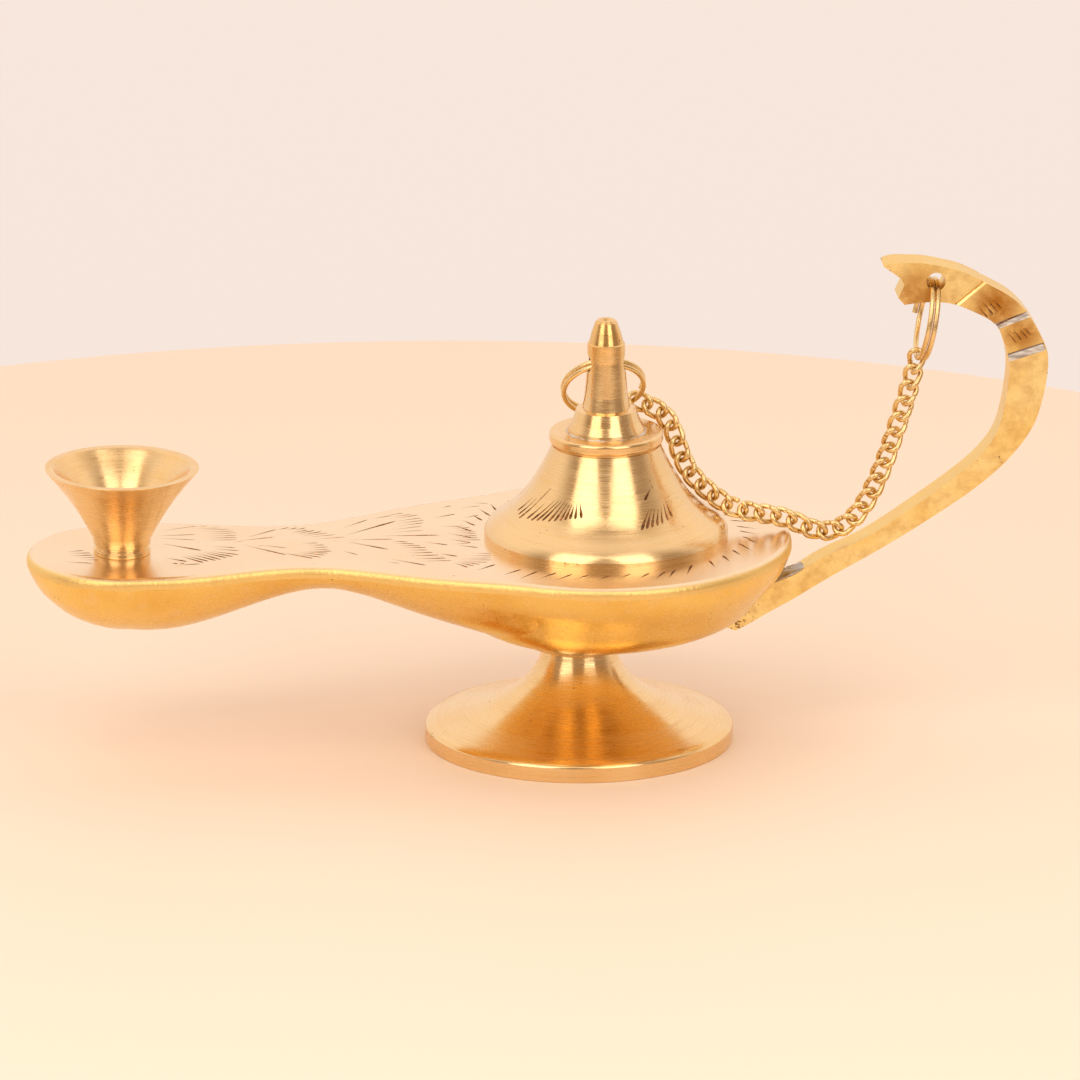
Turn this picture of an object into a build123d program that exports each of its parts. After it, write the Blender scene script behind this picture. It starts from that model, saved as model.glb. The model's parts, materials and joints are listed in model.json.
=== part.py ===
from build123d import *
from math import atan2, cos, degrees, radians, sin, sqrt
import os

os.makedirs("parts", exist_ok=True)

# A brass genie oil lamp: foot, hollow boat-shaped body under a flat deck, wick cup on the spout,
# lifting lid with a finial, hooked bar handle, and a curb chain between two split rings.
# Millimetres, Z up. X runs from the spout (-X) to the handle (+X). The origin is the centre of
# the foot's flat underside. Angles are in degrees, names ending in share or shares are plain
# fractions, and every other length is a size named here or worked out from sizes named here.

# Heights of the stack
foot_height = 15.5
hull_depth = 16.7
deck_thickness = 1.8

# Foot
foot_radius = 24.9
foot_rim_height = 3.1
foot_rim_bevel = 0.6
foot_neck_radius = 5.9
foot_wall = 2.7
foot_web_height = 10.5
foot_web_radius = 4.4

# Screw that draws the foot against the hull
screw_radius = 2.0
screw_head_radius = 3.8
screw_head_height = 2.0
screw_slot_width = 0.9
screw_slot_depth = 0.8
screw_reach = 5.5
screw_clearance = 0.15
thread_clearance = 0.05

# Hull
bowl_radius = 30.0
bowl_x = 4.4
hull_neck_radius = 6.3
hull_wall = 1.6
hull_boss_radius = 4.6
spout_head_radius = 15.8
spout_head_depth = 10.7
spout_head_x = -73.8

# Deck
deck_edge_round = 1.2
lid_opening_radius = 15.5

# Wick cup
cup_x = -74.2
cup_radius = 12.5
cup_wall = 1.35
cup_height = 14.2
cup_band_radius = 4.6
cup_band_height = 2.4
cup_band_groove = 0.35
cup_bore_radius = 2.5
cup_stem_radius = 3.4
cup_stem_reach = 1.4
cup_stem_clearance = 0.1

# Lid
lid_clearance = 0.3
lid_spigot_reach = 2.4
flange_radius = 19.7
flange_edge = 1.2
bell_height = 14.4
bell_top_radius = 8.8
lid_wall = 1.5
collar_radius = 9.2
collar_height = 1.8
collar_step_radius = 8.4
collar_step_height = 0.4
collar_edge_round = 0.5

# Finial and the screw that holds it
finial_base_radius = 6.3
finial_height = 18.6
finial_tip_radius = 1.8
finial_tip_bevel = 0.35
finial_dimple_radius = 0.9
finial_dimple_depth = 0.8
cross_hole_radius = 1.7
cross_hole_height = 11.4
lid_screw_radius = 1.5
lid_screw_head_radius = 3.2
lid_screw_head_height = 1.8
lid_screw_reach = 6.2

# Handle
handle_reach = 75.9
handle_top = 79.1
handle_thickness = 5.0
ring_hole_radius = 1.55
groove_depth = 0.5

# Split rings
ring_radius = 6.5
ring_wire = 0.85
ring_pitch = 0.93
ring_clearance = 0.06
ring_turns_share = 1.708

# Chain
link_wire = 0.9
link_play = 0.2
link_half_width = 1.25
chain_gap = 0.3

# Angles
handle_ring_lean = 12.0
lid_ring_lean = 37.0
lid_hook_angle = 55.0
handle_ring_start = -280.0
lid_ring_start = -285.0
link_twist = 45.0

# Counts
link_count = 28
wire_side_count = 8

# Foot outline, from the rim to the neck: share of the way out from neck to rim, share of the rise
foot_flare_shares = [
    (1.0, 0.0), (0.8, 0.08), (0.56, 0.2), (0.353, 0.347),
    (0.2, 0.5), (0.098, 0.661), (0.03, 0.847), (0.0, 1.0),
]

# Bowl rings, from the neck up: share of the depth, share of the radius, share of the shift in X
bowl_shares = [
    (0.0, 0.21, 0.0), (0.042, 0.287, 0.06), (0.132, 0.41, 0.25), (0.222, 0.573, 0.545),
    (0.305, 0.697, 0.75), (0.407, 0.78, 0.886), (0.527, 0.833, 0.955), (0.677, 0.897, 1.0),
    (0.79, 0.947, 1.0), (0.916, 0.983, 1.0), (1.0, 1.0, 1.0),
]

# Cross section of the spout: share of the depth, share of the half width at the head and at the bowl
section_shares = [
    (0.0, 1.0, 1.0), (0.12, 0.97, 0.97), (0.23, 0.93, 0.936), (0.35, 0.88, 0.872), (0.52, 0.772, 0.792),
    (0.64, 0.678, 0.722), (0.76, 0.553, 0.62), (0.86, 0.41, 0.48), (0.94, 0.25, 0.305), (0.985, 0.1, 0.13),
]

# Stations of the spout channel: share of its length, then how far the half width and the depth have
# grown from the head's towards the bowl's (below zero at the waist). The first lies beyond the head,
# so that the channel starts level, and is cut off again
channel_shares = [
    (-0.1, 0.0, 0.0), (0.0, 0.0, 0.0), (0.1, -0.014, 0.0), (0.2, -0.13, -0.33), (0.3, -0.25, -0.78),
    (0.4, -0.222, -1.07), (0.5, 0.0, -0.81), (0.6, 0.285, -0.31), (0.7, 0.5, 0.14), (0.8, 0.713, 0.57),
    (0.9, 0.895, 0.85),
]

# Wick cup outline above its band: share of the way out, share of the rise
cup_flare_shares = [(0.0, 0.0), (0.22, 0.27), (0.48, 0.55), (0.75, 0.79), (1.0, 1.0)]

# Lid bell outline, from the flange up: share of the way out from the top, share of the rise
bell_shares = [
    (1.0, 0.0), (0.92, 0.088), (0.771, 0.167), (0.587, 0.278), (0.44, 0.396),
    (0.339, 0.507), (0.22, 0.653), (0.11, 0.806), (0.0, 1.0),
]

# Finial outline above its base: share of the base radius, share of the height
finial_shares = [
    (1.0, 0.0), (0.98, 0.03), (0.87, 0.1), (0.77, 0.2), (0.61, 0.21), (0.555, 0.33),
    (0.525, 0.46), (0.49, 0.64), (0.485, 0.79), (0.45, 0.8), (0.37, 0.9),
]

# Handle outline in shares of its reach and of its height, the outer side from the tip to the tail
handle_outer_shares = [
    (0.648, 0.993), (0.668, 0.9995), (0.702, 0.999), (0.734, 0.997), (0.774, 0.989), (0.814, 0.978),
    (0.876, 0.946), (0.924, 0.917), (0.955, 0.885), (0.983, 0.839), (0.999, 0.8),
    (1.0, 0.76), (0.989, 0.7), (0.971, 0.647), (0.941, 0.602), (0.914, 0.572),
    (0.867, 0.531), (0.749, 0.453), (0.64, 0.39), (0.511, 0.322), (0.453, 0.289),
    (0.404, 0.264), (0.354, 0.237), (0.331, 0.227),
]
handle_tail_shares = (0.303, 0.238)
handle_inner_shares = [
    (0.33, 0.275), (0.38, 0.311), (0.426, 0.33), (0.469, 0.347), (0.503, 0.367), (0.601, 0.411),
    (0.664, 0.447), (0.75, 0.503), (0.791, 0.531), (0.855, 0.583), (0.889, 0.627),
    (0.908, 0.688), (0.917, 0.75), (0.917, 0.782), (0.908, 0.82), (0.887, 0.862),
    (0.846, 0.888), (0.798, 0.908), (0.734, 0.914), (0.693, 0.91),
]
handle_mouth_shares = [(0.679, 0.925), (0.692, 0.952), (0.685, 0.966)]
ring_hole_shares = (0.76, 0.9568)

# Grooves filed across the handle: both ends in shares of reach and height, width share of thickness
groove_shares = [
    ((0.804, 0.906), (0.876, 0.962), 0.14),
    ((0.884, 0.856), (0.962, 0.883), 0.22),
    ((0.913, 0.789), (0.993, 0.812), 0.28),
]

# Chain route: shares of the way from the handle ring to the deck's edge, across and down
hang_shares = [(0.055, 0.18), (0.155, 0.43), (0.287, 0.72), (0.43, 0.935), (0.575, 1.05), (0.77, 1.08)]
# Chain route against the bell: share of the way through the bell's outline, and angle round the lid
bell_route_shares = (0.125, 0.375, 0.625)
bell_route_angles = (4.0, 9.0, 15.5)
collar_route_angle = 29.0
deck_route_angle = 1.5
# How far the first and the last links are rolled out of the chain's own plane
roll_fade_links = 5
# Height over the deck's edge and distance from the lid's flange and collar, in shares of the room
# that a link takes up
edge_rise_share = 0.84
over_deck_share = 1.5
beside_collar_share = 1.1
over_collar_share = 0.4

# Derived sizes
hull_rim_z = foot_height + hull_depth
deck_top = hull_rim_z + deck_thickness
channel_length = bowl_x - spout_head_x
flange_top = deck_top + flange_edge
bell_top = flange_top + bell_height
collar_top = bell_top + collar_step_height + collar_height
hole_z = collar_top + cross_hole_height
cup_rim_z = deck_top + cup_height
link_stand = link_half_width + link_wire / 2 + chain_gap


def blend(start, end, share):
    return start + (end - start) * share


def disc(radius, low, high, x):
    return Pos(x, 0, low) * extrude(Circle(radius), high - low)


def turned(points, x):
    # A solid turned about the upright axis at x, from (radius, height) points joined by lines
    outline = Polyline(*[(radius, 0, height) for radius, height in points], close=True)
    return Pos(x, 0, 0) * revolve(make_face(outline), Axis.Z)


def turned_curve(curve, corners, x):
    # The same, with a smooth curve through the first points and lines through the rest
    smooth = Spline(*[(radius, 0, height) for radius, height in curve])
    path = [curve[-1]] + corners + [curve[0]]
    straight = Polyline(*[(radius, 0, height) for radius, height in path])
    return Pos(x, 0, 0) * revolve(make_face(Wire([smooth, *straight.edges()])), Axis.Z)


# Hull and deck

def spout_section(x, half_width, depth, bowl_share):
    # One cross section of the spout, flat on top at the rim
    shape = [(blend(head, bowl, bowl_share), down) for down, head, bowl in section_shares]
    right = [(x, half_width * wide, hull_rim_z - depth * down) for wide, down in shape]
    left = [(x, -half_width * wide, hull_rim_z - depth * down) for wide, down in shape]
    curve = Spline(*right, (x, 0, hull_rim_z - depth), *reversed(left))
    return make_face(Wire([curve, Line(left[0], right[0])]))


def hull_body(inset):
    # The hull's solid form, or with an inset the form of the space inside it
    rings = []
    for down, out, shift in bowl_shares:
        z = hull_rim_z - (hull_depth - inset) * (1 - down)
        ring = Circle(bowl_radius * out - inset)
        rings.append(Pos(bowl_x * shift, 0, z) * ring)
    bowl = loft(rings)
    sections = []
    for along, wider, deeper in channel_shares:
        half_width = blend(spout_head_radius, bowl_radius, wider) - inset
        depth = blend(spout_head_depth, hull_depth, deeper) - inset
        x = spout_head_x + channel_length * along
        sections.append(spout_section(x, half_width, depth, along))
    channel = split(loft(sections), Plane.YZ.offset(spout_head_x), keep=Keep.TOP)
    # The head is the channel's second section turned half round, so the two meet on one face
    half = split(sections[1], Plane.XZ, keep=Keep.TOP)
    head_axis = Axis((spout_head_x, 0, 0), (0, 0, 1))
    head = revolve(half, head_axis, 180)
    if head.center().X > spout_head_x:
        head = revolve(half, head_axis, -180)
    return bowl + channel + head


hull_outer = hull_body(0)
boss_top = foot_height + screw_reach
hull_boss = disc(hull_boss_radius, foot_height + hull_wall / 2, boss_top, 0)
tapped_bore = disc(screw_radius + thread_clearance, foot_height - hull_wall, boss_top + hull_wall, 0)
hull_shell = hull_outer - hull_body(hull_wall) + hull_boss - tapped_bore


def deck_side(side):
    # One side of the deck's outline, running smoothly from the head's arc into the bowl's
    start = Vector(spout_head_x, side * spout_head_radius, hull_rim_z)
    middle = [
        Vector(
            spout_head_x + channel_length * along,
            side * blend(spout_head_radius, bowl_radius, wider),
            hull_rim_z,
        )
        for along, wider, deeper in channel_shares[2:-1]
    ]
    end = bowl_rim_point(side)
    along_arc = Vector(end.Y * side, (bowl_x - end.X) * side, 0).normalized()
    return Spline(start, *middle, end, tangents=[(1, 0, 0), along_arc])


def bowl_rim_point(side):
    # Where the spout's last station meets the round of the bowl
    x = spout_head_x + channel_length * channel_shares[-1][0]
    return Vector(x, side * sqrt(bowl_radius**2 - (x - bowl_x) ** 2), hull_rim_z)


near_side = deck_side(-1)
far_side = deck_side(1)
head_tip = (spout_head_x - spout_head_radius, 0, hull_rim_z)
head_arc = ThreePointArc(near_side @ 0, head_tip, far_side @ 0)
bowl_arc = ThreePointArc(near_side @ 1, (bowl_x + bowl_radius, 0, hull_rim_z), far_side @ 1)
deck_outline = make_face(Wire([near_side, bowl_arc, far_side, head_arc]))
deck_plate = extrude(deck_outline, deck_thickness, dir=(0, 0, 1))
deck_rim = deck_plate.faces().sort_by(Axis.Z)[-1].outer_wire().edges()
deck_plate = fillet(deck_rim, deck_edge_round)
deck_plate -= disc(lid_opening_radius, hull_rim_z - hull_wall, deck_top + hull_wall, bowl_x)
stem_hole = disc(cup_stem_radius + cup_stem_clearance, hull_rim_z - hull_wall, deck_top + hull_wall, cup_x)
deck_plate -= stem_hole


# Foot and its screw

def foot_curve(inner_radius, outer_radius, low, high):
    return [(blend(inner_radius, outer_radius, out), blend(low, high, up)) for out, up in foot_flare_shares]


foot_top_radius = foot_radius - foot_rim_bevel
foot_flare = foot_curve(foot_neck_radius, foot_top_radius, foot_rim_height, foot_height)
foot_outside = [(0, foot_height), (0, 0), (foot_radius, 0), (foot_radius, foot_rim_height - foot_rim_bevel)]
foot_solid = turned_curve(foot_flare, foot_outside, 0)
cavity_radius = foot_radius - foot_wall
foot_hollow = foot_curve(foot_web_radius, cavity_radius, foot_rim_bevel, foot_web_height)
foot_inside = [(0, foot_web_height), (0, -foot_wall), (cavity_radius, -foot_wall)]
foot_cavity = turned_curve(foot_hollow, foot_inside, 0)
foot_bore = disc(screw_radius + screw_clearance, foot_web_height - foot_wall, foot_height + foot_wall, 0)
foot = foot_solid - foot_cavity - foot_bore

screw_head_low = foot_web_height - screw_head_height
foot_screw = disc(screw_head_radius, screw_head_low, foot_web_height, 0)
foot_screw += disc(screw_radius, screw_head_low, boss_top - screw_clearance, 0)
screw_slot = Box(2 * foot_neck_radius, screw_slot_width, 2 * screw_slot_depth)
foot_screw -= Pos(0, 0, screw_head_low) * screw_slot


# Wick cup

cup_band_top = deck_top + cup_band_height
cup_inner_low = cup_band_top + cup_wall
cup_inner_radius = cup_radius - cup_wall
cup_outside = [
    (blend(cup_band_radius, cup_radius, out), blend(cup_band_top, cup_rim_z, up))
    for out, up in cup_flare_shares
]
cup_inside = [
    (blend(cup_bore_radius, cup_inner_radius, out), blend(cup_inner_low, cup_rim_z, up))
    for out, up in cup_flare_shares
]
cup_stem = [(0, cup_rim_z), (0, deck_top), (cup_band_radius, deck_top)]
wick_cup = turned_curve(cup_outside, cup_stem, cup_x)
over_rim = cup_rim_z + cup_wall
cup_mouth = [(cup_inner_radius, over_rim), (0, over_rim), (0, cup_inner_low)]
wick_cup -= turned_curve(cup_inside, cup_mouth, cup_x)
stem_low = hull_rim_z - cup_stem_reach
wick_cup += disc(cup_stem_radius, stem_low, deck_top + cup_wall, cup_x)
band_middle = deck_top + cup_band_height / 2
band_cut = disc(cup_radius, band_middle - cup_band_groove, band_middle + cup_band_groove, cup_x)
wick_cup -= band_cut - disc(cup_band_radius - cup_band_groove, deck_top, cup_band_top, cup_x)
wick_cup -= disc(cup_bore_radius, stem_low - cup_wall, cup_rim_z, cup_x)


# Lid

bell_curve = [
    (blend(bell_top_radius, flange_radius, out), blend(flange_top, bell_top, up)) for out, up in bell_shares
]
bell_hollow = [(radius - lid_wall, height - lid_wall) for radius, height in bell_curve]
lid_bell = turned_curve(bell_curve, [(0, bell_top), (0, deck_top), (flange_radius, deck_top)], bowl_x)
spigot_radius = lid_opening_radius - lid_clearance
lid_low = deck_top - lid_spigot_reach
lid_bell += disc(spigot_radius, lid_low, deck_top, bowl_x)
spigot_inside = spigot_radius - lid_wall
hollow_curve = [point for point in bell_hollow if point[0] < spigot_inside]
hollow_corners = [(0, hollow_curve[-1][1]), (0, lid_low - lid_wall), (spigot_inside, lid_low - lid_wall)]
hollow_corners.append((spigot_inside, hollow_curve[0][1] - lid_wall))
lid_bell -= turned_curve(hollow_curve, hollow_corners, bowl_x)
lid_bore = disc(lid_screw_radius + screw_clearance, bell_top - 2 * lid_wall, collar_top + lid_wall, bowl_x)
lid_bell -= lid_bore

collar_low = bell_top + collar_step_height
lid_collar = disc(collar_radius, collar_low, collar_top, bowl_x)
lid_collar = fillet(lid_collar.edges().filter_by(GeomType.CIRCLE), collar_edge_round)
lid_collar += disc(collar_step_radius, bell_top, collar_low + collar_edge_round, bowl_x)
lid_collar -= lid_bore

finial_top = collar_top + finial_height
finial_outline = [(finial_base_radius * out, collar_top + finial_height * up) for out, up in finial_shares]
finial_outline += [
    (finial_tip_radius, finial_top - finial_tip_bevel),
    (finial_tip_radius - finial_tip_bevel, finial_top),
    (finial_dimple_radius, finial_top),
    (0, finial_top - finial_dimple_depth),
    (0, collar_top),
]
finial = turned(finial_outline, bowl_x)
cross_hole = Plane.YZ * extrude(Circle(cross_hole_radius), finial_base_radius, both=True)
finial -= Pos(bowl_x, 0, hole_z) * cross_hole
screw_end = collar_top + lid_screw_reach
tapped_radius = lid_screw_radius + thread_clearance
finial -= disc(tapped_radius, collar_top - lid_wall, screw_end + screw_clearance, bowl_x)

lid_screw_seat = hollow_curve[-1][1]
lid_screw = disc(lid_screw_head_radius, lid_screw_seat - lid_screw_head_height, lid_screw_seat, bowl_x)
lid_screw += disc(lid_screw_radius, lid_screw_seat - lid_screw_head_height, screw_end, bowl_x)
lid_slot = Box(2 * finial_base_radius, screw_slot_width, 2 * screw_slot_depth)
lid_screw -= Pos(bowl_x, 0, lid_screw_seat - lid_screw_head_height) * lid_slot


# Handle

def on_handle(shares):
    return (handle_reach * shares[0], 0, handle_top * shares[1])


outer_side = Spline(*[on_handle(shares) for shares in handle_outer_shares])
inner_side = Spline(*[on_handle(shares) for shares in handle_inner_shares])
tail = Polyline(
    on_handle(handle_outer_shares[-1]), on_handle(handle_tail_shares), on_handle(handle_inner_shares[0])
)
mouth = Polyline(
    on_handle(handle_inner_shares[-1]),
    *[on_handle(shares) for shares in handle_mouth_shares],
    on_handle(handle_outer_shares[0]),
)
bar_outline = make_face(Wire([outer_side, *tail.edges(), inner_side, *mouth.edges()]))
handle = extrude(bar_outline, handle_thickness / 2, dir=(0, 1, 0), both=True)
ring_hole = on_handle(ring_hole_shares)
ring_hole_cut = Plane.XZ * extrude(Circle(ring_hole_radius), handle_thickness, both=True)
handle -= Pos(*ring_hole) * ring_hole_cut
for inner_end, outer_end, width_share in groove_shares:
    start = Vector(*on_handle(inner_end))
    end = Vector(*on_handle(outer_end))
    across = end - start
    tilt = degrees(atan2(across.Z, across.X))
    cutter = Box(across.length, groove_depth * 2, handle_thickness * width_share)
    for side in (-1, 1):
        at = (start + end) / 2 + Vector(0, side * handle_thickness / 2, 0)
        handle -= Pos(*at) * Rot(0, -tilt, 0) * cutter
handle -= hull_outer


# Split rings: one wire wound a little under twice round, single only where a link is hooked in

def ring_frame(crown, down, side):
    # A frame at the ring's centre, with X towards the bottom of the ring and Y to its side
    return Plane(origin=crown + down * ring_radius, x_dir=down, z_dir=down.cross(side))


def wound_ring(frame, start_angle):
    # Angles run from the bottom of the ring, where the one strand lies in the middle of its width
    coil = Helix(ring_pitch, ring_pitch * ring_turns_share, ring_radius)
    wire = sweep(Plane(origin=coil @ 0, z_dir=coil % 0) * Circle(ring_wire / 2), path=coil)
    start_height = ring_pitch * start_angle / 360
    return frame * Pos(0, 0, start_height) * Rot(0, 0, start_angle) * wire


def ring_point(frame, angle):
    # A point on the middle of the one strand
    turn = radians(angle)
    local = Vector(ring_radius * cos(turn), ring_radius * sin(turn), ring_pitch * angle / 360)
    return frame.from_local_coords(local)


# The handle ring hangs with both its strands resting on the edge of the hole in the bar
hole_room = ring_hole_radius - ring_wire / 2 - ring_clearance
strand_offset = ring_pitch / 2
sag_in_bar = ring_radius - sqrt(ring_radius**2 - (handle_thickness / 2) ** 2)
crown_drop = sqrt(hole_room**2 - strand_offset**2) - sag_in_bar
lean = radians(handle_ring_lean)
handle_down = Vector(-sin(lean), 0, -cos(lean))
handle_crown = Vector(*ring_hole) + handle_down * crown_drop
handle_frame = ring_frame(handle_crown, handle_down, Vector(0, 1, 0))
handle_ring = wound_ring(handle_frame, handle_ring_start)

# The lid ring hangs in the finial's cross hole and leans back over the lid
back = radians(lid_ring_lean)
lid_down = Vector(0, sin(back), -cos(back))
lid_crown = Vector(bowl_x, 0, hole_z)
lid_frame = ring_frame(lid_crown, lid_down, Vector(1, 0, 0))
lid_ring = wound_ring(lid_frame, lid_ring_start)


# Chain route, from the handle ring over the deck's edge and up the bell to the lid ring

def round_lid(radius, angle, height):
    turn = radians(angle)
    return Vector(bowl_x + radius * cos(turn), radius * sin(turn), height)


def over_bar(x, height):
    # Lifts a point of the chain until it is clear of the lower run of the handle's inner side
    for low, high in zip(handle_inner_shares, handle_inner_shares[1:]):
        start = Vector(*on_handle(low))
        run = Vector(*on_handle(high)) - start
        if start.X <= x < start.X + run.X:
            bar = start.Z + run.Z * (x - start.X) / run.X
            height = max(height, bar + link_stand * run.length / run.X)
    return height


def off_bell(share, angle):
    # A point just clear of the bell, outside one row of its outline
    row = round(share * (len(bell_curve) - 1))
    below = bell_curve[row - 1]
    above = bell_curve[row + 1]
    along = Vector(above[0] - below[0], above[1] - below[1]).normalized()
    radius, height = bell_curve[row]
    return round_lid(radius + along.Y * link_stand, angle, height - along.X * link_stand)


hook_depth = (ring_wire + link_play) / 2
chain_start = ring_point(handle_frame, 0) - handle_down * hook_depth
deck_edge_point = Vector(bowl_x + bowl_radius, 0, deck_top + link_stand * edge_rise_share)
route_points = [chain_start]
for across, fall in hang_shares:
    x = blend(chain_start.X, deck_edge_point.X, across)
    route_points.append(Vector(x, 0, over_bar(x, blend(chain_start.Z, deck_edge_point.Z, fall))))
route_points.append(deck_edge_point)
over_deck_radius = flange_radius + link_stand * over_deck_share
route_points.append(round_lid(over_deck_radius, deck_route_angle, flange_top + link_stand))
route_points += [off_bell(share, angle) for share, angle in zip(bell_route_shares, bell_route_angles)]
beside_collar = collar_radius + link_stand * beside_collar_share
over_collar = collar_top + link_stand * over_collar_share
route_points.append(round_lid(beside_collar, collar_route_angle, over_collar))
lid_hook = ring_point(lid_frame, lid_hook_angle)
last_way = (lid_hook - route_points[-1]).normalized()
route_points.append(lid_hook + last_way * hook_depth)
route = Spline(*route_points, tangents=[handle_down, last_way])
contacts = [
    route.position_at(route.length * index / link_count, position_mode=PositionMode.LENGTH)
    for index in range(link_count + 1)
]
link_pitch = route.length / link_count


# One twisted link: two equal halves, each drawn through many-sided sections along its wire

link_crown = (link_pitch + link_wire + link_play) / 2
link_bend_x = link_crown - link_half_width
twist_rate = radians(link_twist) / link_crown


def wire_section(x, width, dx, dwidth):
    # The wire's section where the flat link's middle line is at (x, width) and runs along (dx, dwidth)
    twist = twist_rate * x
    flat_out = Vector(0, cos(twist), sin(twist))
    flat_normal = Vector(0, -sin(twist), cos(twist))
    way = (Vector(dx, 0, 0) + flat_out * dwidth + flat_normal * (width * twist_rate * dx)).normalized()
    plane = Plane(origin=flat_out * width + Vector(x, 0, 0), x_dir=flat_normal.cross(way), z_dir=way)
    return plane * RegularPolygon(link_wire / 2, wire_side_count, rotation=180 / wire_side_count)


half_sections = []
for bend_x, turns in ((link_bend_x, (0, 45, 90)), (-link_bend_x, (90, 135, 180))):
    for turn in turns:
        angle = radians(turn)
        x = bend_x + link_half_width * cos(angle)
        half_sections.append(wire_section(x, link_half_width * sin(angle), -sin(angle), cos(angle)))
half_link = loft(half_sections, ruled=True)
link = half_link + half_link.rotate(Axis.X, 180)


def link_frame(index):
    # The frame of one link: X along the chain, Z level and square to the chain's own plane
    start = contacts[index]
    end = contacts[index + 1]
    along = (end - start).normalized()
    level = Vector(0, 1, 0)
    flat_normal = (level - along * level.dot(along)).normalized()
    return Plane(origin=(start + end) / 2, x_dir=along, z_dir=flat_normal)


def ring_way(frame, angle):
    # The direction of a ring's wire at an angle from its bottom
    turn = radians(angle)
    return frame.y_dir * cos(turn) - frame.x_dir * sin(turn)


# The first crown stands across the handle ring's wire, and the last one across the lid ring's;
# in between the links lie in the chain's own plane, each end turned by the twist of a curb link
first_roll = link_twist
last_frame = link_frame(link_count - 1)
lid_wire_way = ring_way(lid_frame, lid_hook_angle)
wire_turn = degrees(atan2(-lid_wire_way.dot(last_frame.y_dir), lid_wire_way.dot(last_frame.z_dir)))
last_roll = (wire_turn - link_twist + 90) % 180 - 90


def link_roll(index):
    from_start = max(0, 1 - index / roll_fade_links)
    from_end = max(0, 1 - (link_count - 1 - index) / roll_fade_links)
    return first_roll * from_start + last_roll * from_end


nodes = {
    "hull_shell": hull_shell,
    "deck_plate": deck_plate,
    "foot": foot,
    "foot_screw": foot_screw,
    "wick_cup": wick_cup,
    "handle": handle,
    "lid_bell": lid_bell,
    "lid_collar": lid_collar,
    "finial": finial,
    "lid_screw": lid_screw,
    "handle_ring": handle_ring,
    "lid_ring": lid_ring,
}
for index in range(link_count):
    nodes[f"chain_link_{index + 1:02d}"] = link_frame(index) * Rot(link_roll(index), 0, 0) * link

for name, solid in nodes.items():
    export_step(solid, f"parts/{name}.step")
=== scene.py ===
import bmesh
import bpy
import json
import math
import numpy
import random
from mathutils import Matrix, Vector
from mathutils.bvhtree import BVHTree

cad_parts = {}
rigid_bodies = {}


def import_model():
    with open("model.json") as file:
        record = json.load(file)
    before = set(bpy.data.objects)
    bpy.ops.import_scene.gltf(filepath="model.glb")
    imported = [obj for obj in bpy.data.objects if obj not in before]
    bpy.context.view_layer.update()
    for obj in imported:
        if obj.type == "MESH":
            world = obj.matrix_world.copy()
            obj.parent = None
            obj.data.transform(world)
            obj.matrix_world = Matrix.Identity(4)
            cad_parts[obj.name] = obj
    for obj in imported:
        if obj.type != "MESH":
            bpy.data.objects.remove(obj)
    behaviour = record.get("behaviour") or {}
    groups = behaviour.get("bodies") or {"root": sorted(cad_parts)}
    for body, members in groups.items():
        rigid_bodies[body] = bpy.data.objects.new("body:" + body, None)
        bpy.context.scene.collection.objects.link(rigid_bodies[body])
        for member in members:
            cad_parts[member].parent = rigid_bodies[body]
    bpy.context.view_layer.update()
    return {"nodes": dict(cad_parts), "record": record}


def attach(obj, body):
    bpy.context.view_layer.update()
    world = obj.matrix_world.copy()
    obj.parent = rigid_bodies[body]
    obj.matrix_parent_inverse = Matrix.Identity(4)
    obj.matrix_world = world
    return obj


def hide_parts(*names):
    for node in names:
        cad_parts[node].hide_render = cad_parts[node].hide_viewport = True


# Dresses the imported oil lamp: engraved deck and bell, soft edges, round chain wire, solder, brass.
# Metres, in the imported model's own frame: +X to the handle, -Y to the viewer, Z up.
# Tables of points are in mm. Noise scales are in cells per metre.

for left_over in list(bpy.data.objects):
    bpy.data.objects.remove(left_over)

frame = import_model()
scene = bpy.context.scene
bodies = frame["record"]["behaviour"]["bodies"]
body_of_node = {node: body for body, nodes in bodies.items() for node in nodes}

MM = 0.001
LID_X = 4.4 * MM
CUP_X = -74.2 * MM
DECK_TOP = 34.0 * MM
FLANGE_TOP = 35.2 * MM
COLLAR_TOP = 51.8 * MM
FOOT_TOP = 15.5 * MM


# Materials

# A quarter of a turn: highlights run across the lathe's rings
ACROSS_RINGS = 0.25
PIT_ROUGHNESS = 0.3

PALE = (0.93, 0.73, 0.50, 1)
CLEAN = (0.87, 0.63, 0.33, 1)
WARM = (0.82, 0.51, 0.18, 1)
GOLD = (0.89, 0.62, 0.19, 1)
AMBER = (0.77, 0.45, 0.08, 1)
TARNISH = (0.22, 0.10, 0.03, 1)
BAR_PALE = (0.93, 0.74, 0.34, 1)
BAR_DEEP = (0.86, 0.62, 0.21, 1)
BAR_HAZE = (0.47, 0.20, 0.03, 1)
WIRE_BRIGHT = (0.85, 0.64, 0.32, 1)
WIRE_HAZE = (0.66, 0.43, 0.17, 1)
CUT_DARK = (0.19, 0.085, 0.03, 1)
CUT_PALE = (0.608, 0.272, 0.096, 1)
FILED_GREY = (0.60, 0.54, 0.48, 1)
FILED_BRIGHT = (0.93, 0.88, 0.82, 1)
# Painted shadow under the filed grooves' upper sides
FILED_SHADOW = (0.10, 0.045, 0.015, 1)
SOLDER_GREY = (0.50, 0.47, 0.45, 1)
SOLDER_PALE = (0.72, 0.66, 0.60, 1)
SOLDER_STAIN = (0.42, 0.27, 0.12, 1)

# Brown haze on the bar: middle x, middle z and reach in mm, and strength
HAZE_SPOTS = ((67.4, 71.4, 6.6, 1.0), (71.6, 66.4, 5.4, 1.0), (54.5, 74.0, 6.5, 0.8))
# The bar's pitted tail: wholly pitted up to the first x, clean from the second
TAIL = (24.5 * MM, 29.5 * MM)


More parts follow.
